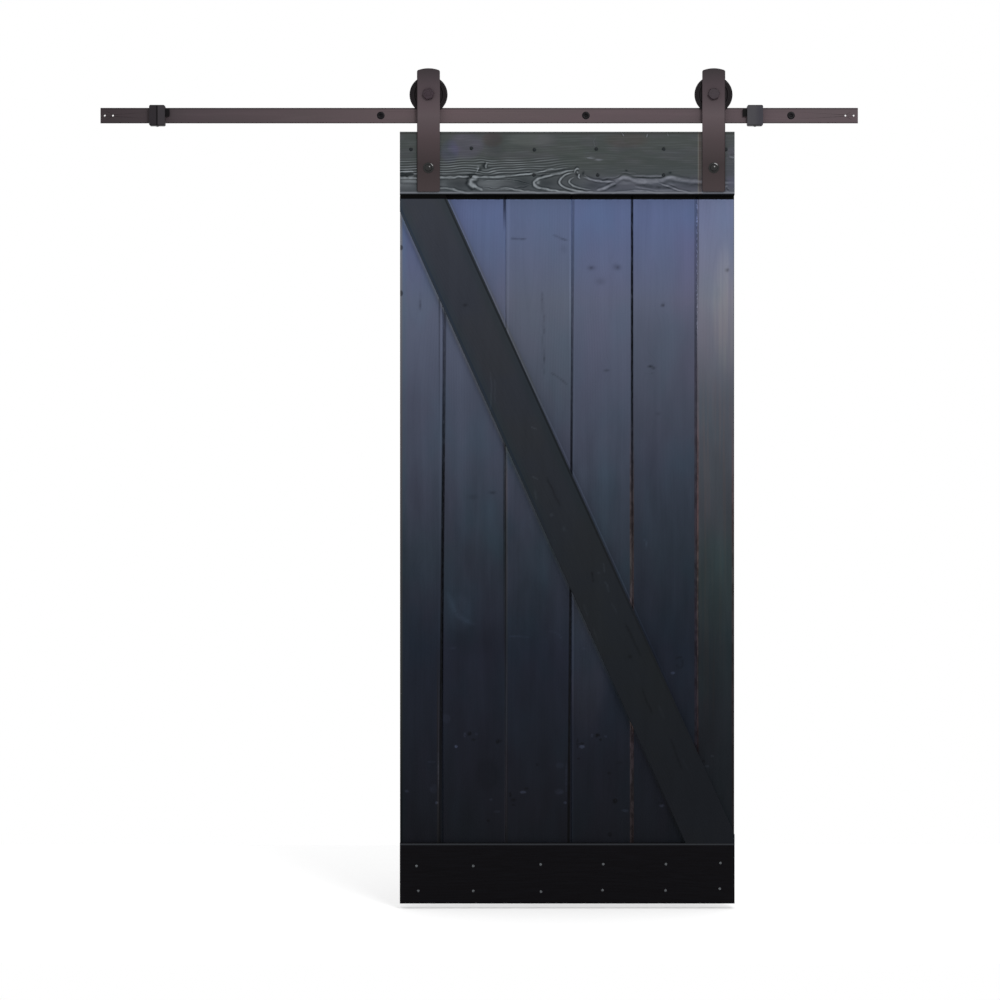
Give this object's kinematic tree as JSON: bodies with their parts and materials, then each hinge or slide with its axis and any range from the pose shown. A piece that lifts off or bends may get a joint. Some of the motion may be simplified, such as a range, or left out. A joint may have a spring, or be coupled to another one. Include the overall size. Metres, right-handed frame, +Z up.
{
  "type": "ledged and braced sliding door on a wall rail",
  "caption": "Ledged and braced board door hung by two strap hangers whose grooved wheels roll on a flat wall rail between end stops.",
  "frame": {"origin": "on the wall, on the axis of the rail screw nearest the door's middle, at the wall end of its spacer", "axes": "+X along the rail to the right as seen from the room, +Y into the wall, +Z up"},
  "size_m": [2.0716, 0.126, 2.2807],
  "materials": {
    "board_paint": "dark slate-blue paint, satin, on vee-jointed softwood boards",
    "brace_paint": "matt charcoal paint on sawn softwood",
    "top_ledge_stain": "grey-green stain with pale grain, matt",
    "bottom_ledge_stain": "near-black stain, matt",
    "rail_bronze": "dark bronze powder coat, satin",
    "strap_bronze": "dark bronze powder coat, satin",
    "bolt_bronze": "dark bronze powder coat, semi-gloss",
    "wheel_black": "black moulded nylon",
    "fixing_black": "black oxide, semi-gloss",
    "stop_slate": "slate-grey powder coat",
    "bumper_rubber": "black rubber"
  },
  "bodies": {
    "track": {"track": "rail_bronze", "lag_screw_1": "fixing_black", "lag_screw_2": "fixing_black", "lag_screw_3": "fixing_black", "lag_screw_4": "fixing_black", "stop_left": "stop_slate", "bumper_left": "bumper_rubber", "stop_right": "stop_slate", "bumper_right": "bumper_rubber"},
    "door": {"board_1": "board_paint", "board_2": "board_paint", "board_3": "board_paint", "board_4": "board_paint", "board_5": "board_paint", "board_6": "board_paint", "top_ledge": "top_ledge_stain", "bottom_ledge": "bottom_ledge_stain", "brace": "brace_paint", "strap_left": "strap_bronze", "axle_bolt_left": "bolt_bronze", "door_bolt_left": "fixing_black", "strap_right": "strap_bronze", "axle_bolt_right": "bolt_bronze", "door_bolt_right": "fixing_black"},
    "wheel_left": {"wheel_left": "wheel_black"},
    "wheel_right": {"wheel_right": "wheel_black"}
  },
  "joints": [
    {"name": "door_slide", "type": "slide", "parent": "track", "child": "door", "axis": [1, 0, 0], "range_m": [-0.673, 0.0445]},
    {"name": "wheel_left_spin", "type": "hinge", "parent": "door", "child": "wheel_left", "pos_m": [-0.4302, -0.035, 0.0563], "axis": [0, 1, 0], "range_deg": [-1101.8, 72.9]},
    {"name": "wheel_right_spin", "type": "hinge", "parent": "door", "child": "wheel_right", "pos_m": [0.3486, -0.035, 0.0563], "axis": [0, 1, 0], "range_deg": [-1101.8, 72.9]}
  ],
  "couplings": [
    {"joint": "wheel_left_spin", "follows": "door_slide", "rad_per_m": 28.571},
    {"joint": "wheel_right_spin", "follows": "door_slide", "rad_per_m": 28.571}
  ]
}
